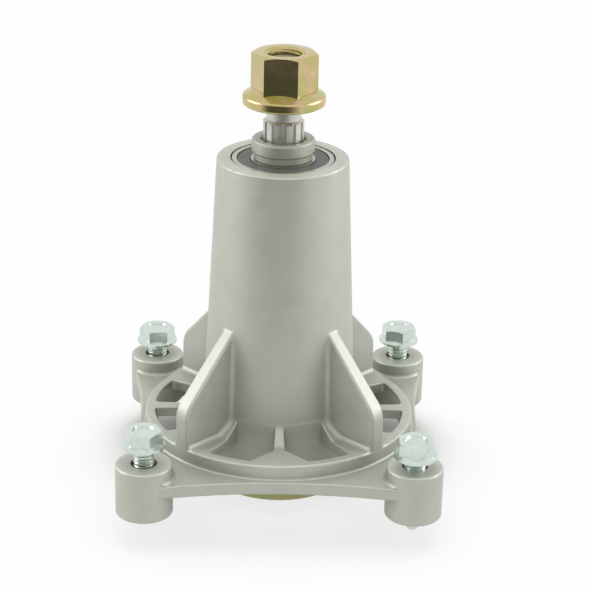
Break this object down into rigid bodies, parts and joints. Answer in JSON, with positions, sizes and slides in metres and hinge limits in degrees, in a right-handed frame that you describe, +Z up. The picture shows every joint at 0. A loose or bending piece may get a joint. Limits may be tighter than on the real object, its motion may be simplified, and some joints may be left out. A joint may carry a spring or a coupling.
{
  "type": "mower deck spindle assembly",
  "caption": "Mower deck spindle: a vented, gusseted cast housing carries a splined shaft in sealed ball bearings, with a flange nut on top and hex washer-head deck screws in its bosses.",
  "frame": {"origin": "on the spindle axis, at the end face of the star drive, which is the lowest point", "axes": "+Z up along the spindle towards the pulley nut; X and Y along the sides of the square deck screw pattern"},
  "size_m": [0.1234, 0.1232, 0.1781],
  "materials": {
    "cast_aluminium": "matte die-cast",
    "shaft_steel": "machined",
    "spacer_steel": "turned",
    "yellow_zinc": "yellow-passivated zinc plate",
    "bright_zinc": "bright zinc plate",
    "bearing_steel": "ground and polished",
    "cage_steel": "pressed sheet",
    "seal_rubber": "moulded nitrile"
  },
  "bodies": {
    "housing": {"housing": "cast_aluminium", "deck_screws": "bright_zinc", "upper_bearing_outer_race": "bearing_steel", "upper_bearing_upper_seal": "seal_rubber", "upper_bearing_lower_seal": "seal_rubber", "lower_bearing_outer_race": "bearing_steel", "lower_bearing_upper_seal": "seal_rubber", "lower_bearing_lower_seal": "seal_rubber"},
    "rotor": {"shaft": "shaft_steel", "dust_cup": "yellow_zinc", "bearing_sleeve": "shaft_steel", "pulley_spacer": "spacer_steel", "pulley_nut": "yellow_zinc", "upper_bearing_inner_race": "bearing_steel", "lower_bearing_inner_race": "bearing_steel"},
    "upper_cage": {"upper_bearing_balls": "bearing_steel", "upper_bearing_cage_upper_half": "cage_steel", "upper_bearing_cage_lower_half": "cage_steel"},
    "lower_cage": {"lower_bearing_balls": "bearing_steel", "lower_bearing_cage_upper_half": "cage_steel", "lower_bearing_cage_lower_half": "cage_steel"}
  },
  "joints": [
    {"name": "spindle_spin", "type": "hinge", "parent": "housing", "child": "rotor", "pos_m": [0, 0, 0.075], "axis": [0, 0, 1], "continuous": true},
    {"name": "upper_cage_spin", "type": "hinge", "parent": "housing", "child": "upper_cage", "pos_m": [0, 0, 0.1308], "axis": [0, 0, 1], "continuous": true},
    {"name": "lower_cage_spin", "type": "hinge", "parent": "housing", "child": "lower_cage", "pos_m": [0, 0, 0.0185], "axis": [0, 0, 1], "continuous": true}
  ],
  "couplings": [
    {"joint": "upper_cage_spin", "follows": "spindle_spin", "ratio": 0.38163},
    {"joint": "lower_cage_spin", "follows": "spindle_spin", "ratio": 0.38163}
  ]
}
